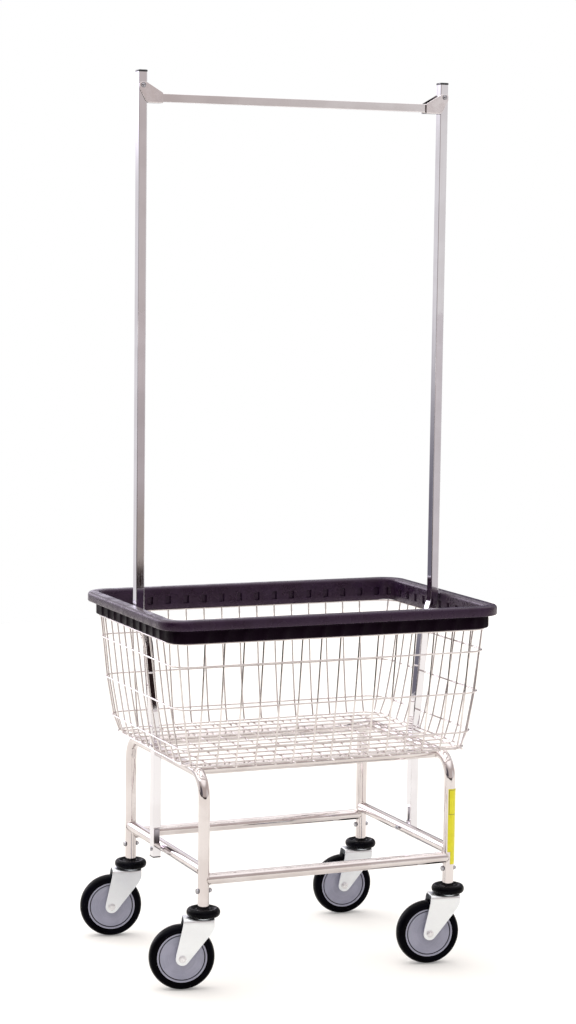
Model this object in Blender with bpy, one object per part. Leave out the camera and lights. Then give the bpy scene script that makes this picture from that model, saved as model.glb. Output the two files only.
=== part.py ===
"""Wire laundry cart with a double-pole hanging rail.

Metres, +Z up, +X along the long side, the front faces -Y, the floor is Z = 0.
The cart's own centre plane stands at X = CART_X, so that the box around all of it is centred on X = 0.
"""
import math

import bmesh
import bpy
from mathutils import Matrix, Vector

GAP = 0.0003            # between neighbouring pieces

# Base frame: round tube
TUBE_R = 0.0111         # 7/8 in tube
TUBE_BORE = 0.0095
TUBE_SIDES = 16
LEG_X = 0.2610          # leg axes
LEG_Y = 0.2065
LEG_FOOT_Z = 0.1442
FRAME_TOP_Z = 0.4150    # axis of the top tubes
FRAME_BEND_R = 0.0450
TOP_RAIL_Y = 0.1500
LONG_RAIL_Z = 0.2130    # front and back lower rails
SIDE_RAIL_Z = 0.2292

# Basket: (height, outer half length, outer half depth)
BASKET_LEVELS = ((0.4306, 0.3000, 0.2155), (0.4640, 0.3100, 0.2225), (0.5430, 0.3225, 0.2275),
                 (0.6250, 0.3310, 0.2290), (0.6690, 0.3360, 0.2295))
WIRE = 0.0035
CORNER_R = 0.0400
FRONT_WIRES, BACK_WIRES, SIDE_WIRES = 15, 14, 11        # uprights in each wall
FRONT_SHIFT, BACK_SHIFT = 0.0040, 0.0020                # of the set along its wall
WIRE_PITCH, CROSS_PITCH = 0.0400, 0.0370
FLOOR_Z = 0.4264
FLOOR_THICK = 0.0039

# Rim bumper: outer half sizes and section (inset from outside, height)
RIM_X = 0.3554
RIM_Y = 0.2492
RIM_CORNER_R = 0.0500
RIM_SECTION = ((0.0000, 0.6990), (0.0000, 0.7125), (0.0016, 0.7163), (0.0055, 0.7179), (0.0200, 0.7179),
               (0.0238, 0.7166), (0.0255, 0.7130), (0.0255, 0.6728), (0.0170, 0.6728), (0.0170, 0.6946),
               (0.0022, 0.6970))

# Poles: square tube, (height, distance of the axis from the centre plane)
POLE_HALF = 0.0095
POLE_WALL = 0.0015
POLE_PATH = ((0.2150, 0.2820), (0.4300, 0.2820), (0.6400, 0.3000), (0.7000, 0.3197), (1.7395, 0.3197))
WINDOW_Z = (0.2410, 0.2710)
PLUG_TOP_Z = 0.2690
BAR_HALF = 0.0080
BAR_Z = 1.6920
BOLT_Z = 1.7145         # bracket bolts
SHEET = 0.0018          # bracket sheet

# Casters, in their own frame: swivel axis at the origin, wheel towards -X
TRAIL = 0.0410
WHEEL_R = 0.0635
WHEEL_SIDES = 24
TYRE_HALF_W = 0.0155
HUB_HALF_W = 0.0168
FORK_INNER = 0.0171
FORK_PLATE = 0.0030
FORK_TOP_Z = 0.1412
AXLE_R = 0.0040
STEM_BOLT_Z = 0.1910
CASTERS = {"front_left": (-1, -1, -15.3), "back_left": (-1, 1, -11.9),
           "back_right": (1, 1, -6.3), "front_right": (1, -1, -9.8)}

CART_X = 0.0044         # casters trail to -X, past the rim


def clear_scene():
    for obj in list(bpy.data.objects):
        bpy.data.objects.remove(obj, do_unlink=True)
    for mesh in list(bpy.data.meshes):
        bpy.data.meshes.remove(mesh)
    for mat in list(bpy.data.materials):
        bpy.data.materials.remove(mat)


def material(name, colour, metallic, roughness):
    mat = bpy.data.materials.new(name)
    mat.use_nodes = True
    shader = mat.node_tree.nodes["Principled BSDF"]
    shader.inputs["Base Color"].default_value = (*colour, 1.0)
    shader.inputs["Metallic"].default_value = metallic
    shader.inputs["Roughness"].default_value = roughness
    return mat


def add(name, geometry, finish, origin=(0.0, 0.0, 0.0)):
    """One piece from (vertices, faces), its origin placed at `origin`."""
    verts, faces = geometry
    origin = Vector(origin)
    mesh = bpy.data.meshes.new(name)
    mesh.from_pydata([Vector(v) - origin for v in verts], [], faces)
    bm = bmesh.new()
    bm.from_mesh(mesh)
    bmesh.ops.recalc_face_normals(bm, faces=bm.faces)
    bm.to_mesh(mesh)
    bm.free()
    obj = bpy.data.objects.new(name, mesh)
    obj.location = origin + Vector((CART_X, 0.0, 0.0))
    bpy.context.scene.collection.objects.link(obj)
    mesh.materials.append(material(name + "_mat", *finish))
    return obj


def moved(geometry, matrix):
    verts, faces = geometry
    return [matrix @ Vector(v) for v in verts], faces


def taken_from(bm):
    """The (vertices, faces) of a bmesh, which is then freed."""
    bm.verts.index_update()
    geometry = [v.co.copy() for v in bm.verts], [tuple(v.index for v in f.verts) for f in bm.faces]
    bm.free()
    return geometry


def loft(loops, bore=None):
    """Body through a row of matching loops: solid, or a tube when inner loops are given."""
    n = len(loops[0])
    verts = [v for loop in loops for v in loop]
    last = (len(loops) - 1) * n
    faces = [(k * n + i, k * n + (i + 1) % n, (k + 1) * n + (i + 1) % n, (k + 1) * n + i)
             for k in range(len(loops) - 1) for i in range(n)]
    if bore is None:
        faces += [tuple(reversed(range(n))), tuple(range(last, last + n))]
        return verts, faces
    base = len(verts)
    verts += [v for loop in bore for v in loop]
    faces += [tuple(base + i for i in reversed(f)) for f in list(faces)]
    for ring in (0, last):
        faces += [(ring + i, ring + (i + 1) % n, base + ring + (i + 1) % n, base + ring + i) for i in range(n)]
    return verts, faces


def lathe(profile, sides, closed=True):
    """Spin (radius, height) points about Z. A closed profile gives a ring, an open one a solid."""
    bm = bmesh.new()
    points = [bm.verts.new((r, 0.0, z)) for r, z in profile]
    edges = [bm.edges.new(pair) for pair in zip(points, points[1:])]
    if closed:
        edges.append(bm.edges.new((points[-1], points[0])))
    bmesh.ops.spin(bm, geom=points + edges, axis=(0, 0, 1), cent=(0, 0, 0), steps=sides,
                   angle=2 * math.pi, use_merge=True)
    if not closed:
        bmesh.ops.holes_fill(bm, edges=bm.edges, sides=sides)
    return taken_from(bm)


def lattice(outer, inner, solid):
    """Closed body of the solid cells of a grid, between an outer and an inner sheet of points."""
    rows, cols = len(solid), len(solid[0])
    index, verts, faces = {}, [], []

    def vertex(sheet, i, j):
        key = (sheet, i, j)
        if key not in index:
            index[key] = len(verts)
            verts.append((outer, inner)[sheet][i][j])
        return index[key]

    def filled(i, j):
        return 0 <= i < rows and 0 <= j < cols and solid[i][j]

    for i in range(rows):
        for j in range(cols):
            if not solid[i][j]:
                continue
            corners = ((i, j), (i, j + 1), (i + 1, j + 1), (i + 1, j))
            faces.append(tuple(vertex(0, *c) for c in corners))
            faces.append(tuple(vertex(1, *c) for c in reversed(corners)))
            for (di, dj), (p, q) in (((-1, 0), (0, 1)), ((0, 1), (1, 2)), ((1, 0), (2, 3)), ((0, -1), (3, 0))):
                if not filled(i + di, j + dj):
                    p, q = corners[p], corners[q]
                    faces.append((vertex(0, *p), vertex(0, *q), vertex(1, *q), vertex(1, *p)))
    return verts, faces


def difference(obj, geometry):
    """Cut a body out of a piece and keep the result as its mesh."""
    cutter = add("cutter", geometry, ((0.5, 0.5, 0.5), 0.0, 0.5))
    mod = obj.modifiers.new("cut", "BOOLEAN")
    mod.operation, mod.solver, mod.object = "DIFFERENCE", "EXACT", cutter
    bpy.context.view_layer.update()
    graph = bpy.context.evaluated_depsgraph_get()
    mesh = bpy.data.meshes.new_from_object(obj.evaluated_get(graph))
    obj.modifiers.clear()
    obj.data = mesh
    bpy.data.objects.remove(cutter, do_unlink=True)


def along(direction):
    """Turn that takes +Z to `direction`."""
    return Vector((0, 0, 1)).rotation_difference(Vector(direction)).to_matrix().to_4x4()


def circle(centre, axis, across, radius, sides):
    """Loop about `centre`, its first point towards `across` and its plane at right angles to `axis`."""
    across = Vector(across).normalized()
    other = Vector(axis).normalized().cross(across)
    return [Vector(centre) + radius * (math.cos(a) * across + math.sin(a) * other)
            for a in (2 * math.pi * i / sides for i in range(sides))]


def rod(start, end, radius, sides=10):
    start, end = Vector(start), Vector(end)
    axis = end - start
    bm = bmesh.new()
    bmesh.ops.create_cone(bm, cap_ends=True, segments=sides, radius1=radius, radius2=radius, depth=axis.length,
                          matrix=Matrix.Translation((start + end) / 2) @ along(axis))
    return taken_from(bm)


def box(x0, x1, y0, y1, z0, z1):
    centre = Matrix.Translation(((x0 + x1) / 2, (y0 + y1) / 2, (z0 + z1) / 2))
    bm = bmesh.new()
    bmesh.ops.create_cube(bm, size=1.0, matrix=centre @ Matrix.Diagonal((x1 - x0, y1 - y0, z1 - z0, 1.0)))
    return taken_from(bm)


def bevelled_square(x, y, z, half, cut):
    """Loop at height z with its corners cut off."""
    pts = []
    for sx, sy in ((1, 1), (-1, 1), (-1, -1), (1, -1)):
        pair = [(x + sx * half, y + sy * (half - cut), z), (x + sx * (half - cut), y + sy * half, z)]
        pts += pair if sx == sy else pair[::-1]
    return pts


def rounded_loop(half_x, half_y, radius, z, steps):
    pts = []
    for sx, sy, start in ((1, 1, 0), (-1, 1, 90), (-1, -1, 180), (1, -1, 270)):
        for k in range(steps + 1):
            a = math.radians(start + 90 * k / steps)
            pts.append((sx * (half_x - radius) + radius * math.cos(a),
                        sy * (half_y - radius) + radius * math.sin(a), z))
    return pts


NICKEL = ((0.80, 0.77, 0.74), 1.0, 0.18)
CHROME = ((0.82, 0.83, 0.86), 1.0, 0.12)
ZINC = ((0.84, 0.86, 0.88), 1.0, 0.30)
BLACK = ((0.015, 0.015, 0.016), 0.0, 0.55)
RIM = ((0.030, 0.022, 0.032), 0.0, 0.50)
GREY = ((0.33, 0.33, 0.38), 0.0, 0.45)
YELLOW = ((0.85, 0.72, 0.02), 0.0, 0.40)


def end_frame(side):
    """Inverted U in a Y-Z plane."""
    stations = [((-LEG_Y, LEG_FOOT_Z), 0.0)]
    centre = (LEG_Y - FRAME_BEND_R, FRAME_TOP_Z - FRAME_BEND_R)
    for sign in (-1, 1):
        angles = range(0, 91, 18) if sign < 0 else range(90, -1, -18)
        for deg in angles:
            a = math.radians(deg)
            stations.append(((sign * (centre[0] + FRAME_BEND_R * math.cos(a)),
                              centre[1] + FRAME_BEND_R * math.sin(a)), a if sign < 0 else math.pi - a))
    stations.append(((LEG_Y, LEG_FOOT_Z), math.pi))
    loops = []
    for radius in (TUBE_R, TUBE_BORE):
        loops.append([circle((side * LEG_X, y, z), (0, math.sin(a), math.cos(a)), (1, 0, 0), radius, TUBE_SIDES)
                      for (y, z), a in stations])
    return loft(*loops)


def coped_rail(half_span, z, offset, along_x):
    """Straight tube whose ends are shaped to the round tubes it meets at +/- half_span."""
    tubes = []
    for radius in (TUBE_R, TUBE_BORE):
        ends = []
        for sign in (-1, 1):
            loop = []
            for i in range(TUBE_SIDES):
                a = 2 * math.pi * i / TUBE_SIDES
                flat, up = radius * math.cos(a), radius * math.sin(a)
                step = up if z == FRAME_TOP_Z else flat
                reach = sign * (half_span - math.sqrt((TUBE_R + GAP) ** 2 - step ** 2))
                loop.append((reach, offset + flat, z + up) if along_x else (offset + flat, reach, z + up))
            ends.append(loop)
        tubes.append(ends)
    return loft(*tubes)


def level_at(z, index):
    for low, high in zip(BASKET_LEVELS, BASKET_LEVELS[1:]):
        if z <= high[0] + 1e-9:
            t = (z - low[0]) / (high[0] - low[0])
            return low[index] + t * (high[index] - low[index])
    return BASKET_LEVELS[-1][index]


def wall_rows():
    """Heights of the grid lines and, between them, whether a ring wire fills the row."""
    heights, ring = [], []
    for k, (z, _, _) in enumerate(BASKET_LEVELS):
        heights += [z, z + WIRE]
        ring += [True, False]
    return heights, ring[:-1]


def wall_point(across, z, inset, along_x, sign):
    """Point of a wall: `across` is the distance along it at the top, drawn in towards the floor."""
    half_x, half_y = level_at(z, 1), level_at(z, 2)
    run, depth = (half_x, half_y) if along_x else (half_y, half_x)
    flat_top = BASKET_LEVELS[-1][1 if along_x else 2] - CORNER_R
    flat, radius = run - CORNER_R, CORNER_R - inset
    if abs(across) <= flat_top + 1e-9:
        run_at, out = across * flat / flat_top, depth - inset
    else:
        a = (abs(across) - flat_top) / CORNER_R
        run_at = math.copysign(flat + radius * math.sin(a), across)
        out = depth - inset - radius * (1 - math.cos(a))
    return (run_at, sign * out, z) if along_x else (sign * out, run_at, z)


def basket_wall(along_x, sign, count, pitch, shift):
    centres = [(k - (count - 1) / 2) * pitch + shift for k in range(count)]
    lines = []
    for c in centres:
        lines += [(c - WIRE / 2, True), (c + WIRE / 2, False)]
    if along_x:
        flat = BASKET_LEVELS[-1][1] - CORNER_R
        arc = CORNER_R * math.pi / 2
        corner = [(flat, False), (flat + arc * 0.25, False), (flat + arc / 2 - WIRE / 2, True),
                  (flat + arc / 2 + WIRE / 2, False), (flat + arc * 0.75, False), (flat + arc - GAP, False)]
        filled = [f for _, f in corner]
        left = [(-p, f) for (p, _), f in zip(reversed(corner), [filled[k - 1] for k in range(len(corner) - 1, 0, -1)]
                                             + [False])]
        lines = left + lines + corner
    else:
        flat = BASKET_LEVELS[-1][2] - CORNER_R - GAP
        lines = [(-flat, False)] + lines + [(flat, False)]
    heights, ring = wall_rows()
    solid = [[ring[i] or lines[j][1] for j in range(len(lines) - 1)] for i in range(len(heights) - 1)]
    sheets = [[[wall_point(p, z, inset, along_x, sign) for p, _ in lines] for z in heights]
              for inset in (0.0, WIRE)]
    return lattice(*sheets, solid)


def basket_floor():
    """Flat mesh under the walls, left open where the poles come down through it."""
    half_x, half_y = BASKET_LEVELS[0][1], BASKET_LEVELS[0][2]
    scale = (half_x - CORNER_R) / (BASKET_LEVELS[-1][1] - CORNER_R)
    columns = [-half_x, -half_x + WIRE]
    for k in range(FRONT_WIRES):
        c = ((k - (FRONT_WIRES - 1) / 2) * WIRE_PITCH + FRONT_SHIFT) * scale
        columns += [c - WIRE / 2, c + WIRE / 2]
    columns += [half_x - WIRE, half_x]
    rows = [-half_y, -half_y + WIRE]
    for k in range(SIDE_WIRES):
        c = (k - (SIDE_WIRES - 1) / 2) * CROSS_PITCH
        rows += [c - WIRE / 2, c + WIRE / 2]
    rows += [half_y - WIRE, half_y]
    pole_in = POLE_PATH[0][1] - POLE_HALF - 2 * GAP
    solid = []
    for i in range(len(rows) - 1):
        row = []
        for j in range(len(columns) - 1):
            middle_y = 0.5 * (rows[i] + rows[i + 1])
            reach = max(abs(columns[j]), abs(columns[j + 1]))
            open_at_pole = abs(middle_y) < 0.001 and pole_in < reach < half_x - WIRE + 1e-6
            row.append((i % 2 == 0 or j % 2 == 0) and not open_at_pole)
        solid.append(row)

    def place(x, y, z):
        """Pull the corners of the rectangle in to the rounded outline."""
        ox, oy = abs(x) - (half_x - CORNER_R), abs(y) - (half_y - CORNER_R)
        if ox > 0 and oy > 0:
            pull = max(ox, oy) / math.hypot(ox, oy)
            ox, oy = ox * pull, oy * pull
            return (math.copysign(half_x - CORNER_R + ox, x), math.copysign(half_y - CORNER_R + oy, y), z)
        return (x, y, z)

    sheets = [[[place(x, y, z) for x in columns] for y in rows] for z in (FLOOR_Z + FLOOR_THICK, FLOOR_Z)]
    return lattice(*sheets, solid)


def rim_bumper():
    steps = 6
    loops = [rounded_loop(RIM_X - d, RIM_Y - d, RIM_CORNER_R - d, z, steps) for d, z in RIM_SECTION]
    n, rows = len(loops[0]), len(loops)
    faces = [(k * n + i, k * n + (i + 1) % n, (k + 1) % rows * n + (i + 1) % n, (k + 1) % rows * n + i)
             for k in range(rows) for i in range(n)]
    return [v for loop in loops for v in loop], faces


def turned(geometry, side):
    """The right-hand piece as drawn, or the same piece turned half round for the left."""
    return moved(geometry, Matrix.Rotation(0.0 if side > 0 else math.pi, 4, "Z"))


def pole():
    """Right-hand pole; near its foot one face and the inner wall are open above the side rail."""
    loops = [[bevelled_square(x, 0.0, z, half, cut) for z, x in POLE_PATH]
             for half, cut in ((POLE_HALF, 0.0012), (POLE_HALF - POLE_WALL, 0.0006))]
    return loft(*loops)


def pole_plug():
    x = POLE_PATH[0][1]
    z = POLE_PATH[0][0] - GAP
    inner = POLE_HALF - POLE_WALL - GAP
    sizes = ((z - 0.0025, POLE_HALF + 0.0002), (z, POLE_HALF + 0.0002), (z + 0.00001, inner), (PLUG_TOP_Z, inner))
    return loft([bevelled_square(x, 0.0, height, half, 0.0009) for height, half in sizes])


def pole_cap():
    x, z = POLE_PATH[-1][1], POLE_PATH[-1][0] + GAP
    inner = POLE_HALF - POLE_WALL - GAP
    sizes = ((z - 0.0120, inner), (z - 0.00001, inner), (z, 0.0101), (z + 0.0028, 0.0101), (z + 0.0037, 0.0092))
    return loft([bevelled_square(x, 0.0, height, half, 0.0009) for height, half in sizes])


def bar_bracket():
    """Right-hand folded gusset: two cheeks bolted to the pole's sides, joined by a shelf under the bar."""
    x, near = POLE_PATH[-1][1], POLE_HALF + GAP
    low, tip = BAR_Z - 0.0102, x - 0.0400
    outline = [(tip, low), (x - 0.0060, low), (x + 0.0092, BOLT_Z - 0.0060), (x + 0.0092, BOLT_Z + 0.0055),
               (x - 0.0065, BOLT_Z + 0.0060), (tip, BAR_Z + 0.0090)]
    cheeks = [loft([[(px, sy * w, pz) for px, pz in outline] for w in (near, near + SHEET)]) for sy in (-1, 1)]
    shelf = box(tip + 0.0002, x - near, -near - 0.0006, near + 0.0006, low + 0.0002, low + SHEET)
    return cheeks + [shelf]


def union(name, bodies, finish):
    """Join overlapping bodies into one closed piece."""
    obj = add(name, bodies[0], finish)
    for body in bodies[1:]:
        other = add("joined", body, finish)
        mod = obj.modifiers.new("join", "BOOLEAN")
        mod.operation, mod.solver, mod.object = "UNION", "EXACT", other
        bpy.context.view_layer.update()
        mesh = bpy.data.meshes.new_from_object(obj.evaluated_get(bpy.context.evaluated_depsgraph_get()))
        obj.modifiers.clear()
        obj.data = mesh
        bpy.data.objects.remove(other, do_unlink=True)
    return obj


def through_bolt(centre, direction, half_grip, shank_r, head_r, head_h, sides=10):
    """Bolt with its head and its nut, gripping +/- half_grip about the centre."""
    profile = [(head_r, -half_grip - head_h), (head_r, -half_grip), (shank_r, -half_grip + 0.00001),
               (shank_r, half_grip - 0.00001), (head_r, half_grip), (head_r, half_grip + head_h)]
    return moved(lathe(profile, sides, closed=False), Matrix.Translation(centre) @ along(direction))


def leg_label():
    """Blank strip wrapped on the outer side of the front right leg."""
    arc = [math.radians(-99 + 87 * k / 6) for k in range(7)]
    rows = [0.2005, 0.3525]
    sheets = [[[(LEG_X + r * math.cos(a), -LEG_Y + r * math.sin(a), z) for a in arc] for z in rows]
              for r in (TUBE_R + 0.0007, TUBE_R + 0.0003)]
    return lattice(*sheets, [[True] * 6])


def fork():
    """Crown plate and two tapering legs, as one pressed fork with a hole for the stem."""
    outer = FORK_INNER + FORK_PLATE
    eye, eye_r = (-TRAIL, WHEEL_R), 0.0130
    top = FORK_TOP_Z
    outline = [(-0.0425, top), (-0.0440, top - 0.0140), (eye[0] - eye_r, eye[1] + 0.004)]
    outline += [(eye[0] + eye_r * math.cos(a), eye[1] + eye_r * math.sin(a))
                for a in (math.radians(d) for d in (190, 225, 260, 295, 325))]
    outline += [(0.0150, 0.1130), (0.0200, top - 0.0120), (0.0200, top)]
    legs = [loft([[(x, sy * w, z) for x, z in outline] for w in (FORK_INNER, outer)]) for sy in (-1, 1)]
    crown = box(-0.0423, 0.0195, -FORK_INNER - 0.0010, FORK_INNER + 0.0010, top - FORK_PLATE, top - 0.0002)
    return [crown] + legs


def caster(place, sx, sy, turn):
    leg = Vector((sx * LEG_X, sy * LEG_Y, 0.0))
    frame = Matrix.Translation(leg) @ Matrix.Rotation(math.radians(turn), 4, "Z")
    hub_centre = frame @ Vector((-TRAIL, 0.0, WHEEL_R))
    wheel = Matrix.Translation(hub_centre) @ Matrix.Rotation(math.radians(turn), 4, "Z") \
        @ Matrix.Rotation(math.radians(90), 4, "X") @ Matrix.Rotation(math.pi / WHEEL_SIDES, 4, "Z")

    donut = [(0.0114, 0.1439), (0.0270, 0.1436), (0.0310, 0.1468), (0.0320, 0.1512), (0.0310, 0.1556),
             (0.0270, 0.1588), (0.0114, 0.1580)]
    add(place + "_bumper", moved(lathe(donut, 18), Matrix.Translation(leg)), BLACK, leg + Vector((0, 0, 0.1512)))

    stem = [(0.0105, 0.1346), (0.0105, 0.1379), (0.0060, 0.13791), (0.0060, 0.1415), (0.0200, 0.14151),
            (0.0200, 0.1433), (0.0091, 0.14331), (0.0091, 0.2020), (0.0075, 0.2040)]
    body = add(place + "_stem", moved(lathe(stem, 14, closed=False), Matrix.Translation(leg)), ZINC, leg)
    difference(body, rod(leg + Vector((-0.03, 0, STEM_BOLT_Z)), leg + Vector((0.03, 0, STEM_BOLT_Z)), 0.0034))
    add(place + "_stem_bolt", through_bolt(leg + Vector((0, 0, STEM_BOLT_Z)), (1, 0, 0), TUBE_R + GAP,
                                           0.0030, 0.0055, 0.0040), ZINC, leg + Vector((0, 0, STEM_BOLT_Z)))

    parts = [moved(body, frame) for body in fork()]
    fork_obj = union(place + "_fork", parts, ZINC)
    difference(fork_obj, moved(lathe([(0.0064, 0.130), (0.0064, 0.150)], 16, closed=False), frame))
    axle_hole = moved(lathe([(AXLE_R + 0.0003, -0.03), (AXLE_R + 0.0003, 0.03)], 12, closed=False), wheel)
    difference(fork_obj, axle_hole)
    for vert in fork_obj.data.vertices:
        vert.co -= leg
    fork_obj.location = leg + Vector((CART_X, 0.0, 0.0))

    grip = FORK_INNER + FORK_PLATE + GAP
    local_axle = through_bolt((0, 0, 0), (0, 0, 1), grip, AXLE_R, 0.0065, 0.0045)
    add(place + "_axle_bolt", moved(local_axle, wheel), ZINC, leg)

    hub = [(0.0043, -HUB_HALF_W), (0.0110, -HUB_HALF_W), (0.0125, -0.0118), (0.0405, -0.0105),
           (0.0481, -0.0128), (0.0481, 0.0128), (0.0405, 0.0105), (0.0125, 0.0118), (0.0110, HUB_HALF_W),
           (0.0043, HUB_HALF_W)]
    add(place + "_wheel_hub", moved(lathe(hub, WHEEL_SIDES), wheel), GREY, hub_centre)
    tread = WHEEL_R / math.cos(math.pi / WHEEL_SIDES)       # its flats, not its corners, stand on the floor
    tyre = [(0.0484, -0.0128), (0.0540, -TYRE_HALF_W), (0.0610, -0.0112), (tread, -0.0040),
            (tread, 0.0040), (0.0610, 0.0112), (0.0540, TYRE_HALF_W), (0.0484, 0.0128)]
    add(place + "_tyre", moved(lathe(tyre, WHEEL_SIDES), wheel), BLACK, hub_centre)


clear_scene()

for side, name in ((-1, "left"), (1, "right")):
    frame_obj = add(name + "_end_frame", end_frame(side), NICKEL)
    for sy in (-1, 1):
        difference(frame_obj, rod((side * LEG_X - 0.02, sy * LEG_Y, STEM_BOLT_Z),
                                  (side * LEG_X + 0.02, sy * LEG_Y, STEM_BOLT_Z), 0.0034))
    rail = add(name + "_lower_rail", coped_rail(LEG_Y, SIDE_RAIL_Z, side * LEG_X, False), NICKEL)
    difference(rail, rod((side * LEG_X - 0.02, 0.0, SIDE_RAIL_Z), (side * LEG_X + 0.02, 0.0, SIDE_RAIL_Z), 0.0024))

for sy, name in ((-1, "front"), (1, "back")):
    add(name + "_top_rail", coped_rail(LEG_X, FRAME_TOP_Z, sy * TOP_RAIL_Y, True), NICKEL)
    add(name + "_lower_rail", coped_rail(LEG_X, LONG_RAIL_Z, sy * LEG_Y, True), NICKEL)

add("basket_floor", basket_floor(), NICKEL)
add("basket_front", basket_wall(True, -1, FRONT_WIRES, WIRE_PITCH, FRONT_SHIFT), NICKEL)
add("basket_back", basket_wall(True, 1, BACK_WIRES, WIRE_PITCH, BACK_SHIFT), NICKEL)
add("basket_left", basket_wall(False, -1, SIDE_WIRES, CROSS_PITCH, 0.0), NICKEL)
add("basket_right", basket_wall(False, 1, SIDE_WIRES, CROSS_PITCH, 0.0), NICKEL)
add("rim_bumper", rim_bumper(), RIM)

foot_x, top_x = POLE_PATH[0][1], POLE_PATH[-1][1]
for side, name in ((-1, "left"), (1, "right")):
    pole_obj = add(name + "_pole", turned(pole(), side), CHROME)
    half = POLE_HALF + 0.001
    windows = (box(foot_x - half, foot_x - POLE_HALF + POLE_WALL + 0.0004, -0.0072, half, *WINDOW_Z),
               box(foot_x - half, foot_x + 0.0060, POLE_HALF - POLE_WALL - 0.0004, half, *WINDOW_Z),
               rod((foot_x - 0.02, 0, SIDE_RAIL_Z), (foot_x + 0.02, 0, SIDE_RAIL_Z), 0.0024, 10),
               rod((top_x, -0.02, BOLT_Z), (top_x, 0.02, BOLT_Z), 0.0024))
    for window in windows:
        difference(pole_obj, turned(window, side))
    plug_obj = add(name + "_pole_plug", turned(pole_plug(), side), BLACK)
    difference(plug_obj, turned(rod((foot_x - 0.02, 0, SIDE_RAIL_Z), (foot_x + 0.02, 0, SIDE_RAIL_Z), 0.0024, 10),
                                side))
    add(name + "_pole_cap", turned(pole_cap(), side), BLACK)
    outer, inner = foot_x + POLE_HALF + GAP, LEG_X - TUBE_R - GAP
    add(name + "_pole_bolt", turned(through_bolt(((outer + inner) / 2, 0, SIDE_RAIL_Z), (-1, 0, 0),
                                                 (outer - inner) / 2, 0.0020, 0.0045, 0.0030), side), ZINC)
    bracket = union(name + "_bar_bracket", [turned(b, side) for b in bar_bracket()], CHROME)
    difference(bracket, turned(rod((top_x, -0.02, BOLT_Z), (top_x, 0.02, BOLT_Z), 0.0024, 10), side))
    add(name + "_bracket_bolt", turned(through_bolt((top_x, 0, BOLT_Z), (0, 1, 0), POLE_HALF + 2 * GAP + SHEET,
                                                    0.0020, 0.0040, 0.0022), side), ZINC)

bar_end = top_x - POLE_HALF - 2 * GAP
bar_loops = [[[(x, y, z) for y, z in ((-h, BAR_Z - h), (h, BAR_Z - h), (h, BAR_Z + h), (-h, BAR_Z + h))]
              for x in (-bar_end, bar_end)] for h in (BAR_HALF, BAR_HALF - 0.0015)]
add("hanger_bar", loft(*bar_loops), CHROME)

add("leg_label", leg_label(), YELLOW)

for place, (sx, sy, turn) in CASTERS.items():
    caster(place, sx, sy, turn)
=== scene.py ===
"""Looks of a wire laundry cart with a double-pole hanging rail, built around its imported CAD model.

Metres, +Z up, the front faces -Y. Sizes and places come from the frame; what the frame doesn't hold
(wire thickness, edge radii, bolt heads) is named below.
"""
import math

import bmesh
import bpy
from mathutils import Matrix, Vector


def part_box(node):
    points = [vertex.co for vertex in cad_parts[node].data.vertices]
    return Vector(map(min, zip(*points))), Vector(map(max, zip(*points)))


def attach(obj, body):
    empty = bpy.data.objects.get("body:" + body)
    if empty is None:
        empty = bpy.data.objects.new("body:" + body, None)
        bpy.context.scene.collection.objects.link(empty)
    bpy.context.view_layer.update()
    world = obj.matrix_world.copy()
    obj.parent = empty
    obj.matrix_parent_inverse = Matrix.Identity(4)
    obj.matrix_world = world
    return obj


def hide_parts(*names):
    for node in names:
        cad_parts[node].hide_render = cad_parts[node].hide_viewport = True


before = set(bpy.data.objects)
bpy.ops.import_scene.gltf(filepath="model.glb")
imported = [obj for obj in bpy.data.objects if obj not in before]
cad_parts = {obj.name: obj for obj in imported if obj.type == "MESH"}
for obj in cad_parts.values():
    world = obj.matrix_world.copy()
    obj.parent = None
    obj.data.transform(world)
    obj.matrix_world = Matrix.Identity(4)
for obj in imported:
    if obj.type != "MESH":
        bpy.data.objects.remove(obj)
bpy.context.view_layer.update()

X, Y, Z = Vector((1, 0, 0)), Vector((0, 1, 0)), Vector((0, 0, 1))
GAP = 0.0003                # what the CAD leaves between neighbouring pieces
FLAT_LEAD = 0.0003          # how far along a flat its first point stands
QUARTERS = ((1, 1, 0), (-1, 1, 90), (-1, -1, 180), (1, -1, 270))     # sides in X and Y, arc's start
SIDES = (("left", -1), ("right", 1))
CORNERS = (("front_left", -1, -1), ("back_left", -1, 1), ("back_right", 1, 1), ("front_right", 1, -1))


# ---- geometry: (vertices, faces) pairs

def moved(geometry, matrix):
    verts, faces = geometry
    return [matrix @ Vector(v) for v in verts], faces


def joined(parts):
    verts, faces = [], []
    for part_verts, part_faces in parts:
        base = len(verts)
        verts += list(part_verts)
        faces += [tuple(base + i for i in face) for face in part_faces]
    return verts, faces


def skin(loops, closed=False, caps=True):
    """Surface through a row of loops with equal counts; closed joins the last loop to the first."""
    n = len(loops[0])
    verts = [v for loop in loops for v in loop]
    rows = len(loops)
    faces = [(k * n + i, k * n + (i + 1) % n, (k + 1) % rows * n + (i + 1) % n, (k + 1) % rows * n + i)
             for k in range(rows if closed else rows - 1) for i in range(n)]
    if caps and not closed:
        faces += [tuple(reversed(range(n))), tuple(range((rows - 1) * n, rows * n))]
    return verts, faces


def tube_walls(outer, inner):
    """Open-ended tube: two skins and the two end rings between them."""
    n, rows = len(outer[0]), len(outer)
    verts, faces = skin(outer, caps=False)
    inner_verts, inner_faces = skin(inner, caps=False)
    base = len(verts)
    faces += [tuple(base + i for i in reversed(face)) for face in inner_faces]
    for row, turn in ((0, 1), (rows - 1, -1)):
        ring = [row * n + i for i in range(n)]
        for here, after in zip(ring, ring[1:] + ring[:1]):
            faces.append((here, base + here, base + after, after)[::turn])
    return verts + inner_verts, faces


def circle(radius, sides):
    angles = [2 * math.pi * i / sides for i in range(sides)]
    return [(radius * math.cos(a), radius * math.sin(a)) for a in angles]


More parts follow.
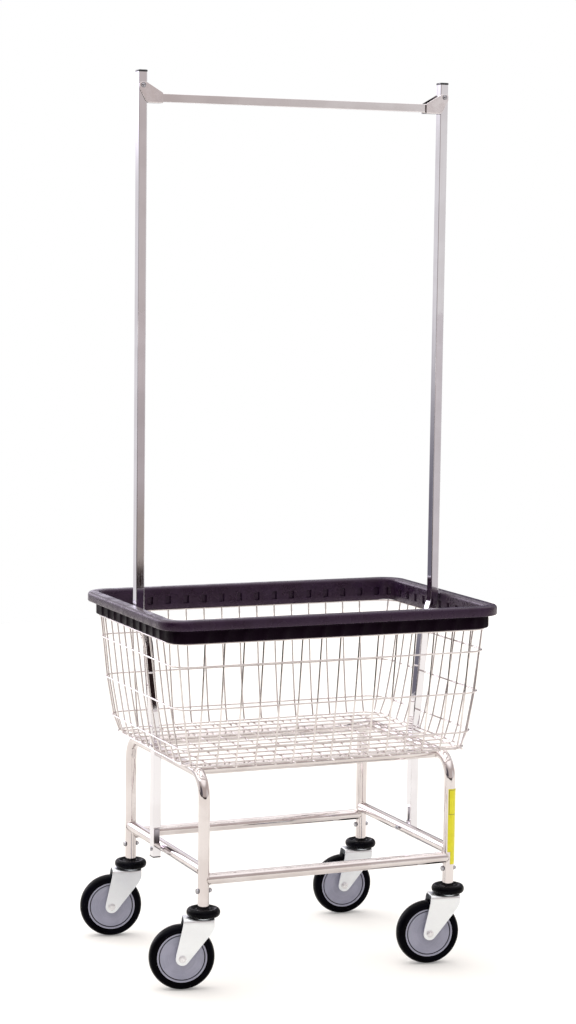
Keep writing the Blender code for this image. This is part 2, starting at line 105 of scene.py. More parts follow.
def oblong(half_x, half_y, radius, steps=4):
    """Rounded rectangle, with a point a little way along each flat to keep the flats flat when shaded."""
    points = []
    for sx, sy, start in QUARTERS:
        for k in range(-1, steps + 2):
            a = math.radians(start + 90 * min(max(k, 0), steps) / steps)
            along_flat = FLAT_LEAD * ((k > steps) - (k < 0))
            points.append((sx * (half_x - radius) + radius * math.cos(a) - along_flat * math.sin(a),
                           sy * (half_y - radius) + radius * math.sin(a) + along_flat * math.cos(a)))
    return points


def round_square(half, radius, steps=4):
    return oblong(half, half, radius, steps)


def bent(points, radius, step=10):
    """Polyline with its corners rounded to arcs, a point every `step` degrees."""
    points = [Vector(p) for p in points]
    path = [points[0]]
    for before, corner, after in zip(points, points[1:], points[2:]):
        a, b = (before - corner).normalized(), (after - corner).normalized()
        bend = math.pi - a.angle(b)
        if bend < 1e-4:
            continue
        reach = radius * math.tan(bend / 2)
        reach = min(reach, 0.48 * (before - corner).length, 0.48 * (after - corner).length)
        centre = corner + (a + b).normalized() * reach / math.sin(bend / 2)
        start, axis = corner + a * reach - centre, a.cross(b)
        count = max(2, math.ceil(math.degrees(bend) / step))
        path += [centre + Matrix.Rotation(-bend * k / count, 3, axis.normalized()) @ start
                 for k in range(count + 1)]
    return path + [points[-1]]


def frames_along(path, up, closed=False):
    """(point, side, up) at each point, carried along without twist."""
    rows, n = [], len(path)
    up = Vector(up)
    for k, point in enumerate(path):
        ahead = path[(k + 1) % n] if closed or k < n - 1 else point
        behind = path[k - 1] if closed or k > 0 else point
        tangent = (ahead - behind).normalized()
        side = tangent.cross(up).normalized()
        up = side.cross(tangent)
        rows.append((point, side, up))
    return rows


def swept(path, section, up=(0, 0, 1), closed=False, caps=True):
    """Section of (side, up) offsets carried along a path."""
    rows = frames_along(path, up, closed)
    return skin([[p + a * side + b * top for a, b in section] for p, side, top in rows], closed, caps)


def swept_tube(path, outer, inner, up=(0, 0, 1)):
    rows = frames_along(path, up)
    return tube_walls(*[[[p + a * side + b * top for a, b in section] for p, side, top in rows]
                        for section in (outer, inner)])


def lathe(profile, sides, closed=True):
    """Turn (radius, height) points about Z: closed profiles give a ring, open ones a solid with caps."""
    loops = [[(x, y, z) for x, y in circle(r, sides)] for r, z in profile]
    return skin(loops, closed=closed, caps=not closed)


def softened(profile, radius, closed=True, step=22):
    """Profile with its corners rounded."""
    points = [Vector((a, b, 0)) for a, b in profile]
    if not closed:
        return [(p.x, p.y) for p in bent(points, radius, step)]
    middle = (points[0] + points[-1]) / 2
    path = bent([middle] + points + [middle], radius, step)
    return [(p.x, p.y) for p in path[:-1]]


OVER = Matrix.Rotation(math.pi, 4, "X")


def lift(height):
    return Matrix.Translation((0, 0, height))


def along(direction):
    """Turn that takes +Z to `direction`."""
    return Z.rotation_difference(Vector(direction)).to_matrix().to_4x4()


def hex_head(across, height, base=0.0):
    """Chamfered hexagon standing on Z = base."""
    corner = across / math.cos(math.pi / 6) / 2
    profile = ((corner, 0.0), (corner, height * 0.75), (corner * 0.97, height * 0.9),
               (across * 0.44, height))
    return skin([[(x, y, base + z) for x, y in circle(r, 6)] for r, z in profile])


# ---- pieces

def mesh_object(name, verts, faces):
    mesh = bpy.data.meshes.new(name)
    mesh.from_pydata([tuple(v) for v in verts], [], faces)
    obj = bpy.data.objects.new(name, mesh)
    bpy.context.scene.collection.objects.link(obj)
    return obj


def piece(name, geometry, finish, body, slot, *nodes, sharp=38, bevel=0.0):
    """One visual piece: mesh, finish, body it rides on and the CAD nodes it stands for; `slot`, a material
    slot name, is not used.
    """
    obj = mesh_object(name, *geometry)
    mesh = obj.data
    bm = bmesh.new()
    bm.from_mesh(mesh)
    bmesh.ops.recalc_face_normals(bm, faces=bm.faces)
    bm.to_mesh(mesh)
    bm.free()
    mesh.materials.append(finish)
    if bevel:
        mod = obj.modifiers.new("edges", "BEVEL")
        mod.width, mod.segments, mod.limit_method, mod.angle_limit = bevel, 2, "ANGLE", math.radians(30)
    mesh.shade_smooth()
    mesh.set_sharp_from_angle(angle=math.radians(sharp))
    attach(obj, body)
    if nodes:
        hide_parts(*nodes)
    return obj


# ---- finishes

class Finish:
    """A procedural material on the piece's own coordinates, built up one effect at a time."""

    def __init__(self, name, colour, roughness, metallic=0.0, **sockets):
        self.material = bpy.data.materials.new(name)
        self.material.use_nodes = True
        self.nodes, self.links = self.material.node_tree.nodes, self.material.node_tree.links
        self.shader = self.nodes["Principled BSDF"]
        self.shader.inputs["Base Color"].default_value = (*colour, 1.0)
        self.shader.inputs["Roughness"].default_value = roughness
        self.shader.inputs["Metallic"].default_value = metallic
        for socket, value in sockets.items():
            self.shader.inputs[socket.replace("_", " ")].default_value = value
        self.coords = self.nodes.new("ShaderNodeTexCoord").outputs["Object"]
        self.colour = None
        self.base = colour
        self.height = None

    def noise(self, scale, detail=3.0, stretch=(1, 1, 1), contrast=(0.35, 0.65)):
        """0 to 1 noise, `scale` blotches a metre, drawn out where `stretch` is under 1."""
        mapping = self.nodes.new("ShaderNodeMapping")
        mapping.inputs["Scale"].default_value = stretch
        texture = self.nodes.new("ShaderNodeTexNoise")
        texture.inputs["Scale"].default_value = scale
        texture.inputs["Detail"].default_value = detail
        self.links.new(self.coords, mapping.inputs["Vector"])
        self.links.new(mapping.outputs["Vector"], texture.inputs["Vector"])
        return self.span(texture.outputs["Fac"], *contrast, 0.0, 1.0)

    def cells(self, scale):
        texture = self.nodes.new("ShaderNodeTexVoronoi")
        texture.inputs["Scale"].default_value = scale
        self.links.new(self.coords, texture.inputs["Vector"])
        return self.span(texture.outputs["Distance"], 0.0, 0.8, 0.0, 1.0)

    def edges(self, low=0.52, high=0.60):
        """0 to 1 on outer edges."""
        return self.span(self.nodes.new("ShaderNodeNewGeometry").outputs["Pointiness"], low, high, 0.0, 1.0)

    def place(self, axis):
        split = self.nodes.new("ShaderNodeSeparateXYZ")
        self.links.new(self.coords, split.inputs["Vector"])
        return split.outputs[axis]

    def heights(self, low, high):
        """0 to 1 going up the piece."""
        return self.span(self.place("Z"), low, high, 0.0, 1.0)

    def depths(self, low, high):
        """0 to 1 going from one Y to another."""
        return self.span(self.place("Y"), low, high, 0.0, 1.0)

    def inside(self, reach, blend=0.0004):
        """1 where Y is within `reach` of zero, 0 a little further out."""
        away = self.nodes.new("ShaderNodeMath")
        away.operation = "ABSOLUTE"
        self.links.new(self.place("Y"), away.inputs[0])
        return self.span(away.outputs[0], reach + blend, reach, 0.0, 1.0)

    def span(self, value, low, high, to_low, to_high):
        node = self.nodes.new("ShaderNodeMapRange")
        node.interpolation_type = "SMOOTHSTEP"
        limits = {"From Min": low, "From Max": high, "To Min": to_low, "To Max": to_high}
        for socket, number in limits.items():
            node.inputs[socket].default_value = number
        self.links.new(value, node.inputs["Value"])
        return node.outputs["Result"]

    def tint(self, factor, colour, amount=1.0):
        """Blend the colour so far towards another where `factor` is 1."""
        mix = self.nodes.new("ShaderNodeMix")
        mix.data_type = "RGBA"
        self.links.new(self.span(factor, 0.0, 1.0, 0.0, amount), mix.inputs["Factor"])
        if self.colour is None:
            mix.inputs["A"].default_value = (*self.base, 1.0)
        else:
            self.links.new(self.colour, mix.inputs["A"])
        mix.inputs["B"].default_value = (*colour, 1.0)
        self.colour = mix.outputs["Result"]
        self.links.new(self.colour, self.shader.inputs["Base Color"])
        return self

    def rough(self, factor, low, high):
        self.links.new(self.span(factor, 0.0, 1.0, low, high), self.shader.inputs["Roughness"])
        return self

    def relief(self, factor, depth):
        """Raise the surface by `depth` metres where `factor` is 1."""
        bump = self.nodes.new("ShaderNodeBump")
        bump.inputs["Distance"].default_value = depth
        self.links.new(factor, bump.inputs["Height"])
        if self.height is not None:
            self.links.new(self.height, bump.inputs["Normal"])
        self.height = bump.outputs["Normal"]
        self.links.new(self.height, self.shader.inputs["Normal"])
        return self


def plated(name, colour, shadow, roughness, grain=(1, 1, 1), painted_shade_reach=None):
    """Bright plate over drawn steel: faint clouding, die lines along the stock and polishing haze.

    The inside of a folded sheet, within `painted_shade_reach` of its middle plane, is painted dark as shade.
    """
    finish = Finish(name, colour, roughness, 1.0)
    # painted shade: near-black between the cheeks of a folded sheet, where its inside lies in shade
    if painted_shade_reach:
        finish.tint(finish.inside(painted_shade_reach), (0.02, 0.018, 0.018), 0.92)
    finish.tint(finish.noise(16.0, 4.0), shadow, 0.5)
    finish.tint(finish.noise(420.0, 2.0, grain, (0.55, 0.75)), shadow, 0.35)
    finish.rough(finish.noise(60.0, 4.0, grain), roughness * 0.6, roughness * 1.6)
    finish.relief(finish.noise(900.0, 2.0, grain), 0.000004)
    return finish.relief(finish.noise(45.0, 2.0, grain), 0.00003).material


def rubbery(name, colour, light, roughness, pits=1400.0, **sockets):
    """Moulded rubber or vinyl: fine pitted skin, cloudy bloom and rubbed edges."""
    finish = Finish(name, colour, roughness, 0.0, **sockets)
    finish.tint(finish.noise(22.0, 5.0), light, 0.35)
    finish.tint(finish.noise(320.0, 3.0, contrast=(0.5, 0.75)), light, 0.25)
    finish.tint(finish.edges(), light, 0.8)
    finish.rough(finish.noise(40.0, 4.0), roughness - 0.08, roughness + 0.10)
    finish.relief(finish.noise(pits, 3.0), 0.00006)
    return finish.relief(finish.noise(60.0, 3.0), 0.00012).material


def zinc(name, colour, shadow, roughness):
    """Bright zinc on pressed sheet: crystal spangle, fine scratches and a slight rainbow of colour."""
    finish = Finish(name, colour, roughness, 1.0)
    finish.tint(finish.cells(260.0), shadow, 0.25)
    finish.tint(finish.noise(30.0, 4.0), (0.86, 0.88, 0.95), 0.15)
    finish.rough(finish.noise(90.0, 5.0), roughness - 0.03, roughness + 0.04)
    finish.relief(finish.cells(520.0), 0.000003)
    return finish.relief(finish.noise(1500.0, 2.0, (1.0, 1.0, 0.08)), 0.00001).material


def moulded(name, colour, light, roughness, **sockets):
    """Hard moulded plastic: faint flow marks, spark-eroded texture and worn edges."""
    finish = Finish(name, colour, roughness, 0.0, **sockets)
    finish.tint(finish.noise(35.0, 4.0), light, 0.4)
    finish.tint(finish.edges(0.515, 0.58), light, 0.7)
    finish.rough(finish.noise(120.0, 3.0), roughness - 0.06, roughness + 0.08)
    return finish.relief(finish.noise(2200.0, 2.0), 0.00004).material


# The bracket is painted near-black as shade within this reach of the poles' middle plane
CHEEK_INSIDE = 0.0108       # just past the inner faces of a bracket's cheeks, from the poles' middle plane

FRAME_TUBE = plated("nickel_tube", (0.78, 0.735, 0.73), (0.64, 0.58, 0.57), 0.050)
WIRE_PLATE = plated("nickel_wire", (0.82, 0.775, 0.765), (0.58, 0.53, 0.52), 0.070)
POLE_PLATE = plated("chrome_pole", (0.85, 0.845, 0.88), (0.76, 0.745, 0.775), 0.020, (1.0, 1.0, 0.05))
BAR_PLATE = plated("chrome_bar", (0.84, 0.82, 0.835), (0.74, 0.71, 0.72), 0.10, (0.05, 1.0, 1.0))
BRACKET_PLATE = plated("chrome_bracket", (0.86, 0.82, 0.83), (0.70, 0.66, 0.68), 0.16,
                       painted_shade_reach=CHEEK_INSIDE)
RIM_VINYL = rubbery("aubergine_vinyl", (0.0125, 0.0036, 0.0150), (0.030, 0.015, 0.042), 0.25,
                    Specular_IOR_Level=0.42, Specular_Tint=(1.0, 0.80, 1.0, 1.0),
                    Sheen_Weight=0.04, Sheen_Roughness=0.35, Sheen_Tint=(0.72, 0.60, 0.90, 1.0))
# painted shade: the skirt, recessed under the lip, is a far darker copy of the rim's vinyl
SHADED_SKIRT_VINYL = rubbery("aubergine_skirt", (0.0026, 0.0005, 0.0026), (0.008, 0.003, 0.009), 0.45,
                      Specular_IOR_Level=0.06, Specular_Tint=(1.0, 0.70, 1.0, 1.0))
RING_RUBBER = rubbery("ring_rubber", (0.0008, 0.0006, 0.0014), (0.006, 0.006, 0.012), 0.22,
                      Specular_IOR_Level=0.05)
TYRE_RUBBER = rubbery("tyre_rubber", (0.0006, 0.0004, 0.0012), (0.004, 0.004, 0.009), 0.18,
                      Specular_IOR_Level=0.03)
CAP_PLASTIC = moulded("black_plastic", (0.006, 0.007, 0.008), (0.04, 0.045, 0.05), 0.35)
HUB_PLASTIC = moulded("grey_hub_plastic", (0.34, 0.35, 0.45), (0.45, 0.46, 0.57), 0.36)
# painted shade: near-black ring laid in each hub groove
GROOVE_PAINTED_SHADE = moulded("groove_shade", (0.010, 0.009, 0.016), (0.03, 0.03, 0.04), 0.6)
FORK_ZINC = zinc("bright_zinc", (0.935, 0.975, 1.0), (0.88, 0.90, 0.925), 0.34)
# Bolts are far darker than the fork's zinc: partly dark plating, partly painted shade round their heads
BOLT_ZINC = zinc("bolt_zinc", (0.42, 0.42, 0.45), (0.22, 0.22, 0.25), 0.24)


def label_vinyl():
    """Blank yellow strip, slightly crazed."""
    finish = Finish("yellow_vinyl", (0.80, 0.75, 0.002), 0.32, 0.0, Coat_Weight=0.3)
    finish.tint(finish.noise(60.0, 4.0), (0.88, 0.84, 0.01), 0.6)
    finish.tint(finish.noise(500.0, 3.0, contrast=(0.55, 0.75)), (0.74, 0.60, 0.01), 0.25)
    return finish.relief(finish.noise(300.0, 3.0), 0.00003).material


LABEL_VINYL = label_vinyl()
LABEL_INK = moulded("label_ink", (0.16, 0.14, 0.02), (0.30, 0.26, 0.04), 0.40)
AXLE_ZINC = zinc("axle_zinc", (0.86, 0.86, 0.87), (0.70, 0.70, 0.73), 0.30)


def plug_plastic():
    """Black plug whose face in the pole's window is painted pale towards the top, partly dust and partly
    painted light falling into the window, in streaks down it.
    """
    finish = Finish("plug_plastic", (0.010, 0.008, 0.010), 0.45)
    # painted light, with dust: paler towards the top of the window, where light falls in
    finish.tint(finish.heights(0.243, 0.272), (0.62, 0.60, 0.66))
    finish.tint(finish.noise(700.0, 2.0, (1.0, 1.0, 0.03)), (0.16, 0.13, 0.15), 0.5)
    return finish.relief(finish.noise(1500.0, 2.0), 0.00003).material


PLUG_PLASTIC = plug_plastic()
WELD = plated("plated_weld", (0.74, 0.69, 0.66), (0.52, 0.47, 0.45), 0.24)


# ---- sizes read from the frame

def corners(node):
    low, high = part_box(node)
    return Vector(low), Vector(high)


def middle(node):
    low, high = corners(node)
    return (low + high) / 2


_low, _high = corners("left_end_frame")
TUBE_R = (_high.x - _low.x) / 2
LEG_Y = _high.y - TUBE_R
LEG_FOOT, FRAME_TOP = _low.z, _high.z - TUBE_R
LEG_X = {side: middle(side + "_end_frame").x for side, _ in SIDES}
CENTRE_X = (LEG_X["left"] + LEG_X["right"]) / 2
BORE_R = TUBE_R - 0.0016
BEND_R = 0.045
TOP_RAIL_Y = middle("back_top_rail").y
LONG_RAIL_Z = middle("front_lower_rail").z
SIDE_RAIL_Z = middle("left_lower_rail").z


# ---- base frame

TUBE_FACETS = 40
FRAME_BEAD_R, BAR_BEAD_R = 0.0011, 0.0007
BETWEEN_RAILS_Z = LONG_RAIL_Z + 0.1         # the top rails are above it, the lower ones below


def end_frame(side):
    leg = LEG_X[side]
    corners_of_u = [(leg, y, z) for y, z in ((-LEG_Y, LEG_FOOT), (-LEG_Y, FRAME_TOP),
                                             (LEG_Y, FRAME_TOP), (LEG_Y, LEG_FOOT))]
    path = bent(corners_of_u, BEND_R, 5)
    walls = swept_tube(path, circle(TUBE_R, TUBE_FACETS), circle(BORE_R, TUBE_FACETS), X)
    piece(side + "_frame_tube", walls, FRAME_TUBE, "cart", "frame_tube", side + "_end_frame")


def saddle(half_span, offset, height, along_x, radius, clear, sign, count):
    """Points where a straight rail's surface meets the round tube across its end."""
    points = []
    for k in range(count):
        a = 2 * math.pi * k / count
        flat, up = radius * math.cos(a), radius * math.sin(a)
        step = up if height > BETWEEN_RAILS_Z else flat
        reach = sign * (half_span - math.sqrt(max((TUBE_R + clear) ** 2 - step ** 2, 0.0)))
        points.append(Vector((reach + CENTRE_X, offset + flat, height + up) if along_x
                             else (offset + flat, reach, height + up)))
    return points


def rail(name, half_span, offset, height, along_x):
    ends = [[saddle(half_span, offset, height, along_x, radius, GAP, sign, TUBE_FACETS) for sign in (-1, 1)]
            for radius in (TUBE_R, BORE_R)]
    piece(name + "_tube", tube_walls(*ends), FRAME_TUBE, "cart", "frame_tube", name)
    beads = []
    for sign in (-1, 1):
        line = saddle(half_span, offset, height, along_x, TUBE_R - 0.0002, 0.0004, sign, 56)
        beads.append(bead(line, FRAME_BEAD_R))
    piece(name + "_weld", joined(beads), WELD, "cart", "frame_tube")


def bead(line, radius):
    """Weld bead round a closed line, its ripples about 3 mm apart."""
    loops = []
    for k, (point, side, up) in enumerate(frames_along(line, (0.3, 0.5, 0.8), closed=True)):
        size = radius * (1.0 + 0.16 * math.sin(2 * math.pi * k / 4) + 0.10 * math.sin(k * 1.7))
        loops.append([point + a * side + b * up for a, b in circle(size, 8)])
    return skin(loops, closed=True)


def base_frame():
    for side, _ in SIDES:
        end_frame(side)
        rail(side + "_lower_rail", LEG_Y, LEG_X[side], SIDE_RAIL_Z, False)
    half = LEG_X["right"] - CENTRE_X
    for name, sign in (("front", -1), ("back", 1)):
        rail(name + "_top_rail", half, sign * TOP_RAIL_Y, FRAME_TOP, True)
        rail(name + "_lower_rail", half, sign * LEG_Y, LONG_RAIL_Z, True)


base_frame()


def cut(obj, geometry):
    """Take a body out of a piece and keep the result as its mesh."""
    cutter = mesh_object("cutter", *geometry)
    mod = obj.modifiers.new("cut", "BOOLEAN")
    mod.operation, mod.solver, mod.object = "DIFFERENCE", "EXACT", cutter
    bpy.context.view_layer.update()
    result = bpy.data.meshes.new_from_object(obj.evaluated_get(bpy.context.evaluated_depsgraph_get()))
    obj.modifiers.clear()
    obj.data = result
    bpy.data.objects.remove(cutter, do_unlink=True)
    result.set_sharp_from_angle(angle=math.radians(30))


def block(x0, x1, y0, y1, z0, z1):
    return skin([[(x0, y0, z), (x1, y0, z), (x1, y1, z), (x0, y1, z)] for z in (z0, z1)])


POLE_SET_X = CENTRE_X - 0.0015              # the photograph shows the poles a little to the left


def turned(geometry, side):
    """Right-hand geometry about the centre plane, or the same turned half round for the left."""
    turn = Matrix.Rotation(0.0 if side > 0 else math.pi, 4, "Z")
    return moved(geometry, Matrix.Translation((POLE_SET_X, 0, 0)) @ turn)


# ---- poles, bar and brackets

_low, _high = corners("right_pole")
CAD_HALF = (_high.y - _low.y) / 2
POLE_HALF, POLE_DEEP = CAD_HALF - 0.0013, CAD_HALF + 0.0007      # a little deeper than it is wide
POLE_BOTTOM, POLE_TOP = _low.z, _high.z
FOOT_X, TOP_X = _low.x + CAD_HALF - CENTRE_X, _high.x - CAD_HALF - CENTRE_X
WALL = 0.0015
# Where the pole leans out, how far out its knee is, and where it is straight again
WAIST_Z, KNEE_X, KNEE_Z, RIM_LEVEL = 0.4300, 0.3000, 0.6400, 0.7000
POLE_BEND_R = 0.055
OUTER_CORNER, INNER_CORNER = 0.0014, 0.0005
WINDOW_Z = (0.2410, 0.2710)
CUT_PAST = 0.001            # how far a cutter stands out of the tube
STEP = 0.00001              # height given to a square shoulder
CAP_CORNER = 0.0022
BAR_Z = middle("hanger_bar").z
BAR_HALF = (corners("hanger_bar")[1].z - corners("hanger_bar")[0].z) / 2
BRACKET_BOLT = middle("right_bracket_bolt")
SHEET = 0.0018


def pole(name, side):
    path = bent([(FOOT_X, 0, POLE_BOTTOM), (FOOT_X, 0, WAIST_Z), (KNEE_X, 0, KNEE_Z),
                 (TOP_X, 0, RIM_LEVEL), (TOP_X, 0, POLE_TOP)], POLE_BEND_R, 3)
    outer = oblong(POLE_HALF, POLE_DEEP, OUTER_CORNER)
    inner = oblong(POLE_HALF - WALL, POLE_DEEP - WALL, INNER_CORNER)
    walls = swept_tube(path, outer, inner, Y)
    tube = piece(name + "_pole_tube", turned(walls, side), POLE_PLATE, "cart", "pole_chrome",
                 name + "_pole")
    # The foot's window is open on two faces of the tube, so it is cut as two blocks
    near, past = FOOT_X - POLE_HALF - CUT_PAST, POLE_DEEP + CUT_PAST
    cut(tube, turned(block(near, near + WALL + 0.0014, -0.0072, past, *WINDOW_Z), side))
    cut(tube, turned(block(near, FOOT_X + 0.006, POLE_DEEP - WALL - 0.0004, past, *WINDOW_Z), side))
    fit = POLE_HALF - WALL - GAP
    rim = POLE_HALF + 0.0002
    shoulder = [(POLE_BOTTOM - 0.0028, rim - 0.0007), (POLE_BOTTOM - 0.0022, rim), (POLE_BOTTOM - GAP, rim),
                (POLE_BOTTOM - GAP + STEP, fit), (WINDOW_Z[1] - 0.002, fit)]
    piece(name + "_foot_plug", turned(squares(FOOT_X, shoulder, OUTER_CORNER), side), PLUG_PLASTIC, "cart",
          "cap_plastic", name + "_pole_plug")
    rim = POLE_HALF + 0.0008
    top = [(POLE_TOP - 0.012, fit), (POLE_TOP + GAP - STEP, fit), (POLE_TOP + GAP, rim - 0.0001),
           (POLE_TOP + 0.0028, rim), (POLE_TOP + 0.0036, rim - 0.0004), (POLE_TOP + 0.0040, rim - 0.0013)]
    piece(name + "_top_cap", turned(squares(TOP_X, top, CAP_CORNER), side), CAP_PLASTIC, "cart",
          "cap_plastic", name + "_pole_cap")


def squares(x, sizes, radius):
    """Solid of (height, half width) sections shaped like the pole's."""
    extra = POLE_DEEP - POLE_HALF
    sections = [(z, oblong(half, half + extra, min(radius, half * 0.5))) for z, half in sizes]
    return skin([[(x + a, b, z) for a, b in section] for z, section in sections])


def bracket(name, side):
    """Folded gusset: two cheeks bolted to the pole, joined by a shelf under the bar."""
    near, out = POLE_DEEP + GAP, POLE_DEEP + GAP + SHEET
    low, tip = BAR_Z - BAR_HALF - SHEET - 0.0004, TOP_X - 0.0400
    head = BRACKET_BOLT.z - 0.0005
    outline = [(tip, low + 0.0012), (TOP_X - 0.0060, low + 0.0012), (TOP_X + 0.0078, head - 0.006),
               (TOP_X + 0.0078, head + 0.006), (TOP_X - 0.0065, head + 0.0065),
               (tip, BAR_Z + BAR_HALF + 0.001)]
    outline = softened(outline, 0.004, step=25)
    parts = [skin([[(x, sy * w, z) for x, z in outline] for w in (near, out)]) for sy in (-1, 1)]
    wide, lip = out - 0.0002, low + 0.0035
    fold = [Vector((0, y, z)) for y, z in ((-wide, lip), (-wide, low), (wide, low), (wide, lip))]
    inner_fold = [v + Vector((0, -math.copysign(SHEET, v.y), rise))
                  for v, rise in zip(fold, (0, SHEET, SHEET, 0))]
    section = bent(fold, 0.0030, 18) + bent(inner_fold, 0.0012, 18)[::-1]
    ends = (tip + 0.0002, TOP_X - POLE_HALF - GAP)
    shelf = skin([[v + Vector((x, 0, 0)) for v in section] for x in ends])
    piece(name + "_gusset", turned(joined(parts + [shelf]), side), BRACKET_PLATE, "cart", "bracket_plate",
          name + "_bar_bracket", bevel=0.0004)
    grip = out + GAP
    centre = Matrix.Translation((TOP_X, 0, BRACKET_BOLT.z)) @ Matrix.Rotation(math.radians(90) * side, 4, "X")
    head = lathe([(0.0001, 0.0021), (0.0018, 0.0020), (0.0034, 0.0013), (0.0040, 0.0004), (0.0040, 0.0),
                  (0.0020, 0.0)], 20, closed=False)
    shank = lathe([(0.0020, -2 * grip - 0.0045), (0.0020, 0.0)], 12, closed=False)
    washer = lathe([(0.0021, -0.0006), (0.0050, -0.0006), (0.0050, 0.0), (0.0021, 0.0)], 20)
    nut = moved(hex_head(0.0072, 0.0030), OVER)
    headed = joined([head, shank, moved(washer, lift(0.0006))])
    bolt = joined([moved(headed, lift(grip)), moved(nut, lift(-grip))])
    piece(name + "_gusset_bolt", turned(moved(bolt, centre), side), BOLT_ZINC, "cart", "fastener",
          name + "_bracket_bolt")


def hanger_bar():
    reach = TOP_X - POLE_HALF - 2 * GAP
    ends = [POLE_SET_X - reach, POLE_SET_X + reach]
    walls = [[[(x, a, BAR_Z + b) for a, b in round_square(half, radius)] for x in ends]
             for half, radius in ((BAR_HALF, 0.0012), (BAR_HALF - WALL, 0.0004))]
    piece("hanger_rail", tube_walls(*walls), BAR_PLATE, "cart", "bar_chrome", "hanger_bar")
    beads = []
    for sign in (-1, 1):
        x = POLE_SET_X + sign * (TOP_X - 0.0395)
        line = [Vector((x, a, BAR_Z + b)) for a, b in round_square(BAR_HALF, 0.0012, 3)]
        beads.append(bead(line, BAR_BEAD_R))
    piece("hanger_rail_weld", joined(beads), WELD, "cart", "bar_chrome")


def pole_bolt(name, side):
    """Bolt through the pole and the side rail, its nut on the rail's inner side."""
    outer = FOOT_X + POLE_HALF + GAP
    inner = LEG_X["right"] - CENTRE_X - TUBE_R - GAP
    head = lathe([(0.0001, 0.0024), (0.0022, 0.0022), (0.0040, 0.0014), (0.0046, 0.0004), (0.0046, 0.0),
                  (0.0020, 0.0)], 20, closed=False)
    shank = lathe([(0.0020, inner - outer - 0.0050), (0.0020, 0.0)], 12, closed=False)
    nut = moved(hex_head(0.0080, 0.0032), lift(inner - outer) @ OVER)
    cross = Matrix.Translation((outer, 0, SIDE_RAIL_Z)) @ along(X)
    piece(name + "_rail_bolt", turned(moved(joined([head, shank, nut]), cross), side), BOLT_ZINC, "cart",
          "fastener", name + "_pole_bolt")


for side_name, side in SIDES:
    pole(side_name, side)
    bracket(side_name, side)
    pole_bolt(side_name, side)
hanger_bar()


# ---- basket

WIRE_R = 0.00175
LEVELS = ((0.4306, 0.3000, 0.2155), (0.4640, 0.3100, 0.2225), (0.5430, 0.3225, 0.2275),
          (0.6250, 0.3310, 0.2290), (0.6690, 0.3360, 0.2295))  # ring height, outer half length and depth
RING_CORNER = 0.0400
UPRIGHT_INSET = 0.0044
WIRE_TOP = corners("basket_front")[1].z - 0.0005
FLOOR_LOW = corners("basket_floor")[0].z + WIRE_R
FLOOR_HIGH = FLOOR_LOW + 0.0027
WIRE_SECTION = circle(WIRE_R, 10)
# Each set of wires along its wall: place and pitch at the top, the same at the bottom
FRONT_SET = ((0.0110, 0.0400), (-0.0025, 0.0394))
BACK_SET = ((0.0215, 0.0394), (0.0305, 0.0392))
LEFT_SET = ((0.0200, 0.0372), (0.0085, 0.0372))
RIGHT_SET = ((-0.0100, 0.0374), (0.0030, 0.0372))
FLOOR_SET = (0.0052, 0.0407)


def upright(k, wire_set, out_index, sign):
    """One wall wire from the top down: (height, distance out, distance along), round the corners too."""
    rows = []
    for z, half_x, half_y in reversed(LEVELS):
        out, flat = (half_y, half_x) if out_index == 2 else (half_x, half_y)
        t = (z - LEVELS[0][0]) / (LEVELS[-1][0] - LEVELS[0][0])
        (top, top_pitch), (foot, foot_pitch) = wire_set
        run = t * (top + k * top_pitch) + (1 - t) * (foot + k * foot_pitch)
        past = min(abs(run) - (flat - RING_CORNER), RING_CORNER * 0.62)
        radius = RING_CORNER - UPRIGHT_INSET
        if past > 0:
            run = math.copysign(flat - RING_CORNER + past, run)
            out -= radius - math.sqrt(radius ** 2 - past ** 2)
        rows.append((z + WIRE_R, sign * (out - UPRIGHT_INSET), run))
    rows[0] = (WIRE_TOP, *rows[0][1:])
    return rows


def ring(level):
    z, half_x, half_y = level
    a, b, r = half_x - WIRE_R, half_y - WIRE_R, RING_CORNER - WIRE_R
    path = []
    for sx, sy, start in QUARTERS:
        for k in range(9):
            t = math.radians(start + 90 * k / 8)
            x, y = sx * (a - r) + r * math.cos(t), sy * (b - r) + r * math.sin(t)
            path.append(Vector((CENTRE_X + x, y, z + WIRE_R)))
    return swept(path, WIRE_SECTION, Z, closed=True)


def wire(points):
    return swept(bent(points, 0.012, 15), WIRE_SECTION, (0.31, 0.29, 0.9))


def wall_wire(k, wire_set, sign):
    """Upright of the front or back wall, turned in under the floor mesh at its foot."""
    rows = upright(k, wire_set, 2, sign)
    rows[-1] = (FLOOR_LOW, *rows[-1][1:])
    rows.append((FLOOR_LOW, rows[-1][1] - sign * 0.0240, rows[-1][2]))
    return wire([(CENTRE_X + run, out, z) for z, out, run in rows])


def floor_wire(k):
    """Front-to-back wire of the floor, ending on the lowest ring."""
    x = FLOOR_SET[0] + k * FLOOR_SET[1]
    past = max(abs(x) - (LEVELS[0][1] - RING_CORNER), 0.0)
    reach = LEVELS[0][2] - 0.0020 - (RING_CORNER - math.sqrt(RING_CORNER ** 2 - past ** 2))
    return wire([(CENTRE_X + x, -reach, FLOOR_LOW), (CENTRE_X + x, reach, FLOOR_LOW)])


def cross_wires(k):
    """Down the left wall, across the floor and up the right wall, cut where it would run into a pole."""
    left, right = upright(k, LEFT_SET, 1, -1), upright(k, RIGHT_SET, 1, 1)
    left[-1], right[-1] = (FLOOR_HIGH, *left[-1][1:]), (FLOOR_HIGH, *right[-1][1:])
    sides = [[(CENTRE_X + out, run, z) for z, out, run in rows] for rows in (left, right)]
    if min(abs(left[-1][2]), abs(right[-1][2])) > POLE_HALF + WIRE_R:
        return [wire(sides[0] + sides[1][::-1])]
    near = FOOT_X - POLE_HALF - 0.001
    across = [(CENTRE_X - near, left[-1][2], FLOOR_HIGH), (CENTRE_X + near, right[-1][2], FLOOR_HIGH)]
    return [wire(sides[0]), wire(across), wire(sides[1])]


